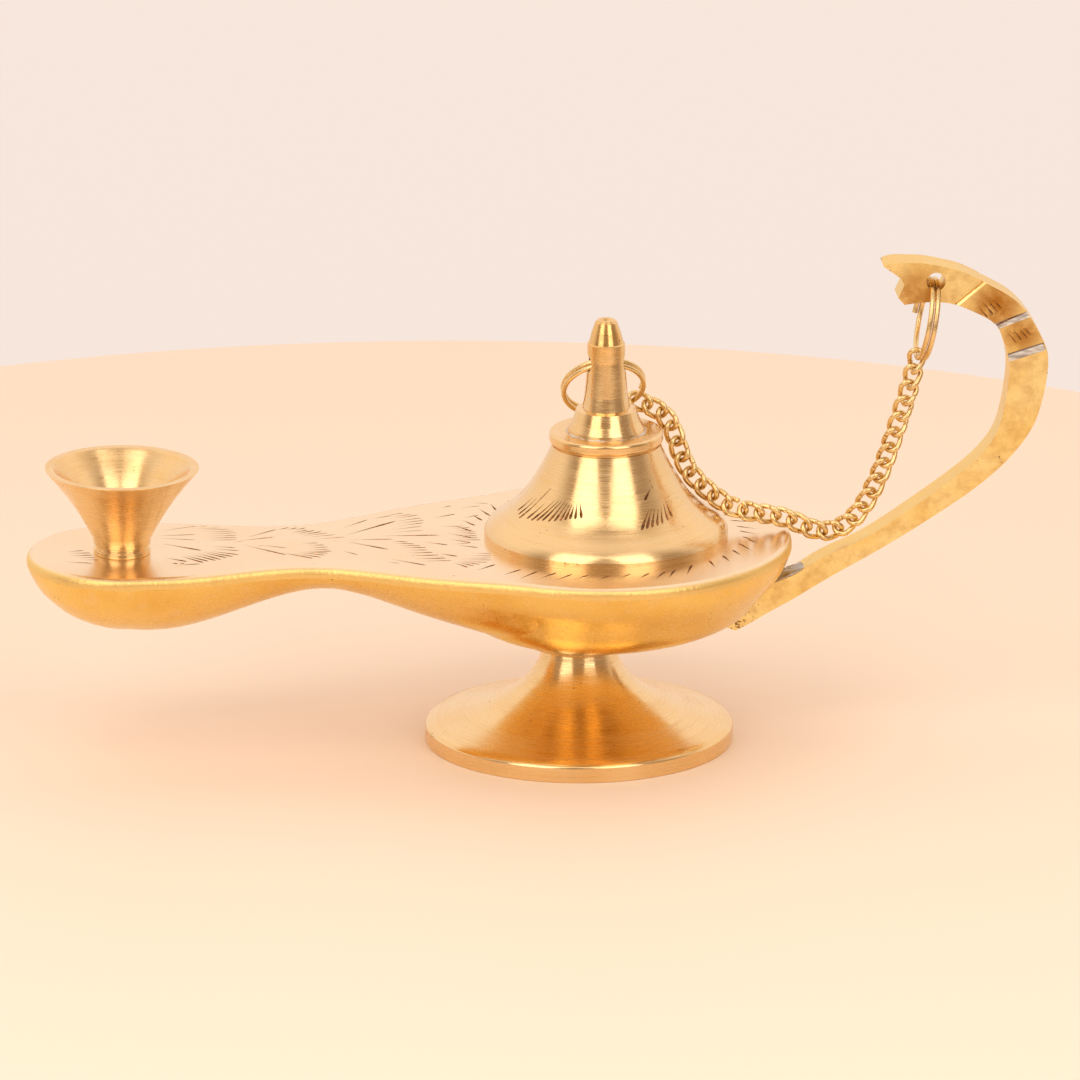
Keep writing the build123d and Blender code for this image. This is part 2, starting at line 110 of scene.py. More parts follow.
class Net:
    """A short way to write the nodes of a material or a world."""

    def __init__(self, owner):
        owner.use_nodes = True
        self.owner = owner
        self.tree = owner.node_tree
        self.tree.nodes.clear()

    def node(self, kind, **settings):
        node = self.tree.nodes.new(kind)
        for name, value in settings.items():
            setattr(node, name, value)
        return node

    def put(self, socket, value):
        """Links a socket to another one, or sets its plain value."""
        if isinstance(value, bpy.types.NodeSocket):
            self.tree.links.new(value, socket)
        else:
            socket.default_value = value

    def feed(self, node, *values):
        """Fills a node's sockets in their own order."""
        for socket, value in zip(node.inputs, values):
            self.put(socket, value)
        return node

    def math(self, operation, first, second):
        return self.feed(self.node("ShaderNodeMath", operation=operation), first, second).outputs[0]

    def plus(self, first, second, share):
        """The first value with a share of the second on top."""
        return self.math("ADD", first, self.math("MULTIPLY", second, share))

    def vector(self, operation, *terms):
        node = self.feed(self.node("ShaderNodeVectorMath", operation=operation), *terms)
        gives_number = operation in ("LENGTH", "DISTANCE", "DOT_PRODUCT")
        return node.outputs["Value" if gives_number else "Vector"]

    def parts(self, vector):
        return self.feed(self.node("ShaderNodeSeparateXYZ"), vector).outputs

    def joined(self, x, y, z):
        return self.feed(self.node("ShaderNodeCombineXYZ"), x, y, z).outputs[0]

    def noise(self, vector, scale, detail=2.0, rough=0.5, fourth=None):
        node = self.node("ShaderNodeTexNoise", noise_dimensions="3D" if fourth is None else "4D")
        values = {"Vector": vector, "Scale": scale, "Detail": detail, "Roughness": rough}
        if fourth is not None:
            values["W"] = fourth
        for name, value in values.items():
            self.put(node.inputs[name], value)
        return node.outputs[0]

    def ramp(self, value, low, high, start=0.0, end=1.0, curve="SMOOTHSTEP"):
        """Goes from start to end while the value goes from low to high."""
        node = self.node("ShaderNodeMapRange", interpolation_type=curve)
        return self.feed(node, value, low, high, start, end).outputs[0]

    def mix(self, share, first, second):
        """A blend of two colours. These sockets are the node's colour ones."""
        node = self.node("ShaderNodeMix", data_type="RGBA")
        for index, value in ((0, share), (6, first), (7, second)):
            self.put(node.inputs[index], value)
        return node.outputs[2]

    def bump(self, height, distance, normal=None):
        node = self.node("ShaderNodeBump")
        node.inputs["Distance"].default_value = distance
        self.put(node.inputs["Height"], height)
        if normal is not None:
            self.put(node.inputs["Normal"], normal)
        return node.outputs[0]

    def place(self, kind="Object"):
        return self.node("ShaderNodeTexCoord").outputs[kind]

    def finish(self, colour, roughness, normal=None, metallic=1.0, anisotropic=0.0, tangent=None):
        shader = self.node("ShaderNodeBsdfPrincipled")
        shader.inputs["Metallic"].default_value = metallic
        shader.inputs["Anisotropic"].default_value = anisotropic
        self.put(shader.inputs["Base Color"], colour)
        self.put(shader.inputs["Roughness"], roughness)
        if normal is not None:
            self.put(shader.inputs["Normal"], normal)
        if tangent is not None:
            shader.inputs["Anisotropic Rotation"].default_value = ACROSS_RINGS
            self.put(shader.inputs["Tangent"], tangent)
        self.feed(self.node("ShaderNodeOutputMaterial"), shader.outputs[0])
        return self.owner


def specks(net, place, scale, level):
    """Small dark pits, few and uneven: 1 in a pit and 0 elsewhere."""
    fine = net.noise(place, scale, 1.0)
    patch = net.noise(place, scale / 14)
    both = net.math("MULTIPLY", fine, net.ramp(patch, 0.4, 0.75, 0.85, 1.12))
    return net.ramp(both, level, level + 0.04)


def turned_brass(name, centre_x, rough=0.24, age=0.35, pit_level=0.78):
    """Brass off a lathe: fine rings round the upright axis at centre_x, and a few pits."""
    net = Net(bpy.data.materials.new(name))
    place = net.place()
    moved = net.vector("SUBTRACT", place, (centre_x, 0, 0))
    flat = net.vector("MULTIPLY", moved, (1, 1, 0))
    radius = net.vector("LENGTH", flat)
    way = net.parts(net.vector("NORMALIZE", flat))
    height = net.parts(moved)[2]

    def rings(per_metre, reach):
        """Noise that hardly changes on its way round, so that it makes rings."""
        stretched = net.joined(
            net.math("MULTIPLY", radius, per_metre),
            net.math("MULTIPLY", height, per_metre),
            net.math("MULTIPLY", way[0], reach),
        )
        return net.noise(stretched, 1.0, detail=1.0, fourth=net.math("MULTIPLY", way[1], reach))

    fine = rings(9000, 2.5)
    coarse = rings(1800, 1.2)
    broad = rings(420, 0.7)
    pits = specks(net, place, 2600, pit_level)
    patch = net.noise(place, 130, 3.0)
    colour = net.mix(net.ramp(patch, 0.35, 0.75, 0.0, age), CLEAN, WARM)
    colour = net.mix(net.ramp(coarse, 0.45, 0.8, 0.0, 0.35), colour, WARM)
    colour = net.mix(pits, colour, TARNISH)
    worn = net.ramp(fine, 0.2, 0.8, rough - 0.08, rough + 0.1)
    uneven = net.math("ADD", worn, net.ramp(broad, 0.3, 0.7, -0.03, 0.04))
    roughness = net.plus(uneven, pits, PIT_ROUGHNESS)
    cut = net.math("SUBTRACT", net.plus(coarse, fine, 0.5), pits)
    normal = net.bump(cut, 0.006 * MM)
    normal = net.bump(broad, 0.02 * MM, normal)
    around = net.node("ShaderNodeTangent", direction_type="RADIAL", axis="Z")
    return net.finish(colour, roughness, normal, anisotropic=0.6, tangent=around.outputs[0])


def polished_brass(name, rough=0.24, along=(1, 6, 6), age=0.5, wave=0.03, pit_level=0.76):
    """Hand polished castings: soft waves, hairlines along one way, pits and warm patches."""
    net = Net(bpy.data.materials.new(name))
    place = net.place()
    patch = net.noise(place, 90, 4.0)
    cloud = net.noise(place, 420, 3.0)
    hair = net.noise(net.vector("MULTIPLY", place, along), 900)
    fine = net.noise(place, 5200, 1.0)
    pits = specks(net, place, 2300, pit_level)
    colour = net.mix(net.ramp(patch, 0.35, 0.7, 0.0, age), GOLD, AMBER)
    colour = net.mix(net.ramp(cloud, 0.5, 0.8, 0.0, 0.4), colour, CLEAN)
    colour = net.mix(net.math("MULTIPLY", pits, 0.85), colour, TARNISH)
    roughness = net.plus(net.ramp(cloud, 0.3, 0.7, rough - 0.04, rough + 0.05), pits, 0.35)
    roughness = net.math("ADD", roughness, net.ramp(hair, 0.5, 0.8, 0.0, 0.1))
    cut = net.math("SUBTRACT", net.plus(hair, fine, 0.6), pits)
    normal = net.bump(patch, wave * MM)
    normal = net.bump(cut, 0.004 * MM, normal)
    return net.finish(colour, roughness, normal)


def deck_brass():
    """The flat deck: even satin on top, filed across its rounded rim."""
    net = Net(bpy.data.materials.new("deck_brass"))
    place = net.place()
    height = net.parts(place)[2]
    patch = net.noise(place, 70, 4.0)
    grain = net.noise(place, 2600)
    hair = net.noise(net.vector("MULTIPLY", place, (1, 5, 5)), 700)
    filed = net.noise(net.vector("MULTIPLY", place, (1, 1, 0.12)), 2300)
    rim = net.ramp(height, DECK_TOP - 0.5 * MM, DECK_TOP - 0.06 * MM, 1.0, 0.0)
    pits = specks(net, place, 2600, 0.78)
    colour = net.mix(net.ramp(patch, 0.4, 0.75, 0.0, 0.35), PALE, CLEAN)
    colour = net.mix(net.math("MULTIPLY", rim, 0.85), colour, GOLD)
    colour = net.mix(pits, colour, TARNISH)
    roughness = net.plus(net.ramp(grain, 0.3, 0.7, 0.22, 0.26), pits, PIT_ROUGHNESS)
    roughness = net.plus(roughness, rim, 0.2)
    cut = net.math("SUBTRACT", net.plus(hair, grain, 0.5), pits)
    normal = net.bump(cut, 0.0014 * MM)
    normal = net.bump(net.math("MULTIPLY", filed, rim), 0.09 * MM, normal)
    normal = net.bump(patch, 0.02 * MM, normal)
    return net.finish(colour, roughness, normal)


def bar_brass():
    """The handle's cast bar: brown haze by its grooves and hole, slanting file marks, a pitted tail."""
    net = Net(bpy.data.materials.new("handle_brass"))
    place = net.place()
    x, y, z = net.parts(place)
    slant = net.joined(
        net.math("MULTIPLY", net.math("ADD", x, z), 0.15),
        net.math("MULTIPLY", y, 0.3),
        net.math("SUBTRACT", x, z),
    )
    patch = net.noise(place, 150, 4.0)
    cloud = net.noise(place, 420, 4.0, 0.6)
    marks = net.noise(slant, 1500)
    fine = net.noise(place, 3800, 1.0)
    haze = net.ramp(cloud, 0.4, 0.75, 0.0, 0.35)
    broken = net.ramp(cloud, 0.25, 0.6, 0.6, 1.0)
    for centre_x, centre_z, reach, strength in HAZE_SPOTS:
        away = net.vector("DISTANCE", place, (centre_x * MM, 0, centre_z * MM))
        spot = net.ramp(away, 0.35 * reach * MM, reach * MM, strength, 0.0)
        haze = net.math("MAXIMUM", haze, net.math("MULTIPLY", spot, broken))
    tail = net.ramp(x, *TAIL, 1.0, 0.0)
    pits = specks(net, place, 2300, 0.76)
    tail_pits = net.math("MULTIPLY", tail, net.ramp(net.noise(place, 1500), 0.5, 0.62))
    dark = net.math("MAXIMUM", net.math("MULTIPLY", pits, 0.7), tail_pits)
    colour = net.mix(net.ramp(patch, 0.35, 0.7, 0.0, 0.8), BAR_PALE, BAR_DEEP)
    colour = net.mix(haze, colour, BAR_HAZE)
    colour = net.mix(dark, colour, TARNISH)
    roughness = net.plus(net.ramp(cloud, 0.3, 0.7, 0.24, 0.36), dark, PIT_ROUGHNESS)
    cut = net.plus(net.math("MULTIPLY", marks, 1.2), fine, 0.4)
    normal = net.bump(patch, 0.03 * MM)
    normal = net.bump(cut, 0.004 * MM, normal)
    normal = net.bump(net.math("SUBTRACT", 1.0, dark), 0.05 * MM, normal)
    return net.finish(colour, roughness, normal)


def cut_tarnish_and_shade():
    """Dark metal in engraved cuts, and on the filed cuts' upper walls as painted shade."""
    net = Net(bpy.data.materials.new("cut_tarnish_and_shade"))
    patch = net.noise(net.place(), 1900, 3.0)
    shade = net.mix(net.ramp(patch, 0.4, 0.75), CUT_DARK, CUT_PALE)
    return net.finish(shade, net.ramp(patch, 0.3, 0.7, 0.4, 0.6), net.bump(patch, 0.02 * MM), metallic=0.8)


def wire_brass(name):
    """Drawn wire of the chain and the rings: bright with faint draw lines and brown haze."""
    net = Net(bpy.data.materials.new(name))
    place = net.place()
    haze = net.noise(place, 300)
    draw = net.noise(place, 2600, 1.0)
    pits = specks(net, place, 2400, 0.80)
    colour = net.mix(net.ramp(haze, 0.4, 0.75, 0.0, 0.6), WIRE_BRIGHT, WIRE_HAZE)
    colour = net.mix(pits, colour, TARNISH)
    roughness = net.plus(net.ramp(draw, 0.3, 0.7, 0.25, 0.37), pits, PIT_ROUGHNESS)
    normal = net.bump(net.math("SUBTRACT", draw, pits), 0.0006 * MM)
    return net.finish(colour, roughness, normal)


def solder_metal(name, colour):
    """Grey soft solder: dull, lumpy, stained."""
    net = Net(bpy.data.materials.new(name))
    place = net.place()
    lumps = net.noise(place, 1500, 4.0)
    stain = net.noise(place, 600)
    shade = net.mix(net.ramp(stain, 0.45, 0.7), colour, SOLDER_STAIN)
    return net.finish(shade, net.ramp(lumps, 0.3, 0.7, 0.3, 0.5), net.bump(lumps, 0.06 * MM), metallic=0.9)


hull_finish = polished_brass("hull_brass")
handle_finish = bar_brass()
edge_finish = polished_brass("bar_edge_brass", rough=0.3, along=(6, 1, 6), age=0.2, wave=0.02, pit_level=0.8)
deck_finish = deck_brass()
foot_finish = turned_brass("foot_brass", 0, age=0.4, pit_level=0.76)
lid_finish = turned_brass("lid_brass", LID_X)
finial_finish = turned_brass("finial_brass", LID_X, rough=0.22, age=1.0)
cup_finish = turned_brass("cup_brass", CUP_X, age=0.6)
chain_finish = wire_brass("chain_brass_wire")
ring_finish = wire_brass("ring_brass_wire")
screw_finish = turned_brass("screw_brass_old", 0, rough=0.34, age=0.9)
lid_screw_finish = turned_brass("lid_screw_brass_old", LID_X, rough=0.34, age=0.9)
groove_finish = cut_tarnish_and_shade()
solder_finish = solder_metal("solder_grey", SOLDER_GREY)
pale_solder_finish = solder_metal("solder_pale", SOLDER_PALE)


# Mesh helpers

WELD_DISTANCE = 1e-7
# A chisel stroke from its start to its end: share of the way, of the width and of the depth
STROKE_STATIONS = ((0.0, 0.12, 0.15), (0.35, 0.55, 0.5), (0.75, 1.0, 1.0), (0.93, 0.8, 0.75), (1.0, 0.3, 0.2))
# How high a stroke's cutter stands over the metal, and its half width there and at its floor, as shares
STROKE_LIFT = 0.12 * MM
STROKE_TOP_SHARE = 1.6
STROKE_FLOOR_SHARE = 0.25


def new_object(name, mesh, body, *materials):
    thing = bpy.data.objects.new(name, mesh)
    scene.collection.objects.link(thing)
    for material in materials:
        mesh.materials.append(material)
    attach(thing, body)
    return thing


def mesh_of(work, name, turn_outward=True):
    """Makes a new mesh of the work and ends the work."""
    if turn_outward:
        bmesh.ops.recalc_face_normals(work, faces=work.faces)
    mesh = bpy.data.meshes.new(name)
    work.to_mesh(mesh)
    work.free()
    return mesh


def join_rings(work, rings, closed=False):
    """Faces between one ring of corners and the next. Closed goes round, else both ends get a face."""
    following = rings[1:] + rings[:1] if closed else rings[1:]
    for one, two in zip(rings, following):
        for i in range(len(one)):
            j = (i + 1) % len(one)
            work.faces.new((one[i], one[j], two[j], two[i]))
    if not closed:
        work.faces.new(list(reversed(rings[0])))
        work.faces.new(rings[-1])


def welded_copy(node, name, *materials):
    """A copy of a node's mesh with its seams closed, to stand for that node."""
    work = bmesh.new()
    work.from_mesh(frame["nodes"][node].data)
    bmesh.ops.remove_doubles(work, verts=work.verts, dist=WELD_DISTANCE)
    mesh = mesh_of(work, name, turn_outward=False)
    mesh.materials.clear()
    thing = new_object(name, mesh, body_of_node[node], *materials)
    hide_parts(node)
    for polygon in mesh.polygons:
        polygon.material_index = 0
    return thing


def soften_edges(thing, width, angle=32, hole=None):
    """Rounds every real edge a little, but not those of a hole along Y, and keeps wide faces smooth."""
    mesh = thing.data
    mesh.shade_smooth()
    bevel = thing.modifiers.new("soft_edges", "BEVEL")
    bevel.width = width
    bevel.segments = 3
    bevel.limit_method = "ANGLE"
    bevel.angle_limit = math.radians(angle)
    bevel.use_clamp_overlap = True
    bevel.miter_outer = "MITER_ARC"
    if hole is not None:
        hole_x, hole_z, reach = hole
        work = bmesh.new()
        work.from_mesh(mesh)
        weight = work.edges.layers.float.new("bevel_weight_edge")
        for edge in work.edges:
            middle = (edge.verts[0].co + edge.verts[1].co) / 2
            near = math.hypot(middle.x - hole_x, middle.z - hole_z) < reach
            real = edge.calc_face_angle(0.0) > math.radians(angle)
            edge[weight] = 1.0 if real and not near else 0.0
            edge.smooth = not (real and near)
        work.to_mesh(mesh)
        work.free()
        bevel.limit_method = "WEIGHT"
    weighted = thing.modifiers.new("even_normals", "WEIGHTED_NORMAL")
    weighted.weight = 60
    weighted.keep_sharp = True


def carve(thing, cutters):
    """Cuts the strokes out of a thing. The cut faces take the strokes' own material."""
    cutter = bpy.data.objects.new("cutter", cutters)
    scene.collection.objects.link(cutter)
    cut = thing.modifiers.new("strokes", "BOOLEAN")
    cut.operation = "DIFFERENCE"
    cut.solver = "EXACT"
    cut.use_self = True
    cut.material_mode = "TRANSFER"
    cut.object = cutter
    seen = thing.evaluated_get(bpy.context.evaluated_depsgraph_get())
    mesh = bpy.data.meshes.new_from_object(seen)
    thing.modifiers.clear()
    thing.data = mesh
    bpy.data.objects.remove(cutter)


def barycentric(point, a, b, c):
    """The shares of a triangle's corners in a point on it."""
    v0, v1, v2 = b - a, c - a, point - a
    d00, d01, d11 = v0.dot(v0), v0.dot(v1), v1.dot(v1)
    d20, d21 = v2.dot(v0), v2.dot(v1)
    below = d00 * d11 - d01 * d01
    if abs(below) < 1e-24:
        return (1.0, 0.0, 0.0)
    v = (d11 * d20 - d01 * d21) / below
    w = (d00 * d21 - d01 * d20) / below
    return (1 - v - w, v, w)


def borrow_normals(thing, node, cut_material):
    """Shades a carved copy as the smooth node, except inside its cuts."""
    source = frame["nodes"][node].data
    corners = [Vector(item.vector) for item in source.corner_normals]
    points = [vertex.co.copy() for vertex in source.vertices]
    tree = BVHTree.FromPolygons(points, [tuple(face.vertices) for face in source.polygons])
    mesh = thing.data
    mesh.shade_smooth()
    cut_slots = {i for i, item in enumerate(mesh.materials) if item == cut_material}
    wanted = [Vector((0, 0, 1))] * len(mesh.loops)
    for face in mesh.polygons:
        for index in face.loop_indices:
            normal = face.normal
            if face.material_index not in cut_slots:
                corner = mesh.vertices[mesh.loops[index].vertex_index].co
                at, _, found, _ = tree.find_nearest(corner.lerp(face.center, 0.03))
                if found is not None and source.polygons[found].normal.dot(face.normal) > 0.9:
                    polygon = source.polygons[found]
                    shares = barycentric(at, *(points[i] for i in polygon.vertices))
                    mixed = Vector((0, 0, 0))
                    for share, loop in zip(shares, polygon.loop_indices):
                        mixed += corners[loop] * share
                    if mixed.length > 0.5:
                        normal = mixed.normalized()
            wanted[index] = normal.copy()
    mesh.normals_split_custom_set(wanted)


def gouge(work, start, end, up, width, depth):
    """One chisel stroke: fine at its start, widest and deepest near its end."""
    along = (end - start).normalized()
    side = up.cross(along).normalized()
    rings = []
    for share, wide, deep in STROKE_STATIONS:
        middle = start.lerp(end, share)
        half = side * (width * wide / 2)
        lift = up * STROKE_LIFT
        dip = up * (depth * deep)
        rings.append([work.verts.new(point) for point in (
            middle - half * STROKE_TOP_SHARE + lift,
            middle - half * STROKE_FLOOR_SHARE - dip,
            middle + half * STROKE_FLOOR_SHARE - dip,
            middle + half * STROKE_TOP_SHARE + lift,
        )])
    join_rings(work, rings)


def stroke_mesh(name, strokes, material):
    """The cutters of all strokes, each a row of start, end, way out, width and depth."""
    work = bmesh.new()
    for stroke in strokes:
        gouge(work, *stroke)
    mesh = mesh_of(work, name)
    mesh.materials.append(material)
    return mesh


# Deck

# Strokes on the deck, in mm: start x, start y, end x, end y, width, depth
LEAF_A = [
    (-62.6, 12.0, -61.0, 12.5, 0.28, 0.10), (-60.9, 12.1, -59.2, 12.4, 0.25, 0.08),
    (-61.0, 11.2, -57.2, 11.1, 0.28, 0.10), (-60.6, 10.3, -55.6, 10.3, 0.28, 0.10),
    (-60.5, 9.2, -55.1, 9.1, 0.28, 0.10), (-60.2, 8.0, -54.7, 8.1, 0.28, 0.10),
    (-60.2, 6.9, -54.8, 6.7, 0.30, 0.12), (-60.3, 5.8, -54.9, 5.6, 0.34, 0.13),
    (-60.2, 4.7, -55.1, 4.4, 0.34, 0.13), (-59.4, 1.2, -55.8, 0.1, 0.34, 0.14),
    (-59.2, -0.2, -55.4, -1.6, 0.36, 0.16), (-59.9, -1.4, -55.7, -3.8, 0.40, 0.20),
    (-60.9, -1.5, -56.7, -4.7, 0.42, 0.20), (-61.5, -1.8, -57.8, -5.2, 0.42, 0.22),
    (-62.4, -2.1, -58.8, -6.1, 0.42, 0.22), (-63.3, -2.7, -59.7, -6.5, 0.42, 0.22),
    (-64.2, -3.4, -60.9, -6.8, 0.44, 0.22), (-65.0, -3.6, -61.8, -7.4, 0.46, 0.24),
    (-67.4, -4.3, -64.4, -6.5, 0.48, 0.24), (-67.5, 10.3, -61.4, 12.4, 0.26, 0.08),
    (-68.4, 7.9, -61.5, 8.0, 0.34, 0.12), (-68.5, 6.9, -61.7, 5.0, 0.28, 0.09),
    (-67.0, 3.4, -61.4, -0.8, 0.46, 0.24), (-67.0, -7.1, -66.0, -7.4, 0.50, 0.24),
    (-65.9, -7.3, -64.9, -7.5, 0.45, 0.22), (-66.6, -8.4, -62.4, -8.0, 0.40, 0.18),
]
LEAF_B = [
    (-47.9, 9.1, -46.1, 10.1, 0.36, 0.18), (-46.5, 8.9, -44.8, 9.8, 0.36, 0.18),
    (-45.6, 8.5, -43.4, 9.6, 0.32, 0.14), (-46.2, 7.1, -43.2, 8.4, 0.34, 0.15),
    (-45.4, 6.3, -42.1, 8.1, 0.38, 0.18), (-44.8, 5.7, -41.0, 7.3, 0.38, 0.18),
    (-44.4, 5.1, -40.2, 6.4, 0.32, 0.13), (-43.9, 4.4, -39.0, 5.4, 0.30, 0.12),
    (-43.0, 3.3, -37.6, 3.9, 0.30, 0.12), (-45.0, 1.2, -42.3, 1.2, 0.32, 0.13),
    (-44.4, 0.0, -41.3, 0.0, 0.34, 0.14), (-44.3, -1.3, -40.9, -1.2, 0.34, 0.14),
    (-44.4, -2.5, -40.8, -2.4, 0.32, 0.13), (-44.5, -3.4, -40.5, -3.5, 0.38, 0.19),
    (-45.3, -3.4, -41.2, -4.6, 0.38, 0.18), (-46.0, -3.6, -41.9, -5.6, 0.38, 0.18),
    (-46.7, -4.1, -42.6, -6.7, 0.38, 0.18), (-47.7, -4.1, -44.0, -7.1, 0.40, 0.20),
    (-48.6, -3.5, -45.2, -6.2, 0.36, 0.16), (-53.1, 5.6, -48.2, 9.3, 0.36, 0.14),
    (-55.0, 3.7, -49.0, 5.2, 0.36, 0.15), (-54.3, 1.4, -48.1, -4.7, 0.42, 0.20),
    (-52.0, 1.2, -47.6, -1.0, 0.32, 0.13), (-56.0, 3.0, -54.4, 3.3, 0.24, 0.08),
]
LEAF_C = [
    (-32.5, 13.2, -29.0, 14.6, 0.30, 0.10), (-37.3, 4.9, -28.6, 11.6, 0.50, 0.24),
    (-37.4, 8.8, -33.0, 12.9, 0.32, 0.12), (-30.2, 14.6, -26.8, 15.9, 0.30, 0.11),
    (-29.0, 13.8, -25.6, 15.1, 0.30, 0.12), (-28.5, 12.9, -24.5, 14.6, 0.32, 0.12),
    (-28.7, 11.5, -24.2, 12.9, 0.32, 0.12), (-28.7, 10.1, -23.9, 11.6, 0.32, 0.12),
    (-28.6, 8.8, -24.1, 10.2, 0.32, 0.12), (-30.0, 6.8, -24.6, 8.4, 0.30, 0.10),
    (-30.2, 5.4, -24.6, 6.2, 0.28, 0.10), (-31.8, 3.8, -22.4, 3.2, 0.46, 0.22),
    (-36.8, 2.2, -30.0, 1.9, 0.38, 0.17), (-37.4, 1.2, -31.4, -3.6, 0.48, 0.22),
    (-38.9, -3.5, -36.6, -6.0, 0.32, 0.12), (-31.6, -8.9, -26.3, -12.9, 0.42, 0.20),
    (-32.5, -10.2, -30.5, -11.4, 0.26, 0.09), (-30.6, 1.0, -27.8, 0.0, 0.38, 0.18),
    (-30.2, -0.4, -26.9, -1.1, 0.38, 0.18), (-29.4, -1.7, -26.0, -2.2, 0.38, 0.18),
    (-29.2, -3.1, -25.2, -3.2, 0.38, 0.18), (-28.4, -4.5, -25.1, -4.6, 0.38, 0.18),
    (-28.5, -6.0, -24.4, -6.0, 0.42, 0.22), (-28.2, -7.5, -23.7, -7.6, 0.42, 0.22),
    (-27.8, -9.2, -22.6, -9.4, 0.42, 0.22), (-27.0, -10.6, -21.9, -10.8, 0.34, 0.14),
]
LEAF_D = [
    (-22.3, 12.6, -18.5, 14.4, 0.36, 0.14), (-17.5, 12.0, -14.8, 13.4, 0.32, 0.12),
    (-20.4, 18.0, -18.7, 19.0, 0.32, 0.12), (-17.4, 17.6, -14.0, 18.4, 0.28, 0.10),
    (-15.3, 20.4, -12.6, 19.4, 0.28, 0.10), (-22.0, 7.8, -17.9, 7.7, 0.32, 0.12),
    (-20.3, 6.7, -17.0, 6.7, 0.34, 0.14), (-19.9, 5.5, -16.6, 5.3, 0.34, 0.14),
    (-19.6, 4.4, -16.3, 4.3, 0.38, 0.17), (-19.8, 3.4, -16.3, 3.3, 0.34, 0.14),
    (-20.2, 2.4, -16.2, 2.2, 0.36, 0.15), (-20.3, 1.3, -16.3, 1.1, 0.36, 0.15),
    (-20.4, 0.2, -15.9, -0.1, 0.36, 0.16), (-21.1, -2.1, -17.6, -1.5, 0.30, 0.11),
    (-25.1, -0.3, -21.6, -2.3, 0.42, 0.20), (-23.3, -6.9, -20.8, -8.6, 0.50, 0.25),
]
LEAF_E = [
    (-18.4, -7.0, -15.2, -7.9, 0.30, 0.11), (-18.9, -8.5, -15.3, -9.0, 0.32, 0.13),
    (-20.1, -9.8, -15.4, -10.1, 0.32, 0.13), (-20.6, -10.6, -15.4, -11.2, 0.34, 0.14),
    (-20.8, -11.5, -16.2, -12.4, 0.36, 0.15), (-20.6, -11.8, -17.6, -13.4, 0.38, 0.17),
    (-21.0, -12.0, -18.7, -14.1, 0.40, 0.19), (-21.6, -12.2, -19.7, -14.8, 0.44, 0.22),
]
LEAF_TIP = [
    (-83.0, 0.9, -80.3, 1.4, 0.36, 0.15), (-82.8, 0.1, -79.3, -0.1, 0.38, 0.18),
    (-82.7, -1.3, -79.0, -1.3, 0.40, 0.20), (-81.8, -2.5, -78.8, -2.6, 0.34, 0.14),
    (-81.0, -3.7, -78.4, -4.0, 0.30, 0.12), (-84.0, -4.4, -79.5, -5.8, 0.40, 0.18),
]
# Ticks round the lid: outer radius, angle there, inner radius, angle there, depth
FRONT_TICKS = [
    (28.3, -144, 23.9, -145, 0.20), (27.1, -134, 23.1, -133, 0.24), (27.4, -127, 22.4, -126, 0.20),
    (25.9, -121, 21.7, -118, 0.24), (26.0, -115, 21.8, -111, 0.20), (24.8, -109, 21.8, -104, 0.14),
    (24.7, -100, 21.8, -95, 0.20), (23.9, -92, 21.3, -86, 0.14), (24.2, -84, 21.7, -78, 0.22),
    (25.0, -78, 21.9, -71, 0.22), (25.2, -73, 21.8, -66, 0.24), (24.9, -65, 21.2, -56, 0.24),
    (24.5, -51, 21.5, -46, 0.22), (24.5, -42, 21.8, -37, 0.22), (24.3, -33, 21.9, -28, 0.22),
    (25.0, -26, 21.8, -18, 0.18), (25.1, -17, 23.0, -12, 0.16),
]
BACK_TICKS = 26
TICK_WIDTH = 0.42 * MM


def deck_strokes():
    """The leaves, the seen ticks round the lid and those behind it."""
    up = Vector((0, 0, 1))
    strokes = []
    for x0, y0, x1, y1, width, depth in LEAF_A + LEAF_B + LEAF_C + LEAF_D + LEAF_E + LEAF_TIP:
        start = Vector((x0 * MM, y0 * MM, DECK_TOP))
        end = Vector((x1 * MM, y1 * MM, DECK_TOP))
        strokes.append((start, end, up, width * MM, depth * MM))
    hand = random.Random(7)
    ticks = list(FRONT_TICKS)
    for step in range(BACK_TICKS):
        angle = -8 + step * 8 + hand.uniform(-1, 1)
        outer = 25.0 + hand.uniform(-0.6, 0.5)
        inner = 21.9 + hand.uniform(-0.3, 0.4)
        ticks.append((outer, angle - 5.5, inner, angle, hand.uniform(0.14, 0.24)))
    for outer, start_angle, inner, end_angle, depth in ticks:
        ends = []
        for radius, angle in ((outer, start_angle), (inner, end_angle)):
            turn = math.radians(angle)
            spot = (LID_X + radius * math.cos(turn) * MM, radius * math.sin(turn) * MM, DECK_TOP)
            ends.append(Vector(spot))
        strokes.append((*ends, up, TICK_WIDTH, depth * MM))
    return strokes


deck = welded_copy("deck_plate", "deck_engraved", deck_finish, groove_finish)
carve(deck, stroke_mesh("deck_cuts", deck_strokes(), groove_finish))
borrow_normals(deck, "deck_plate", groove_finish)


# Bell

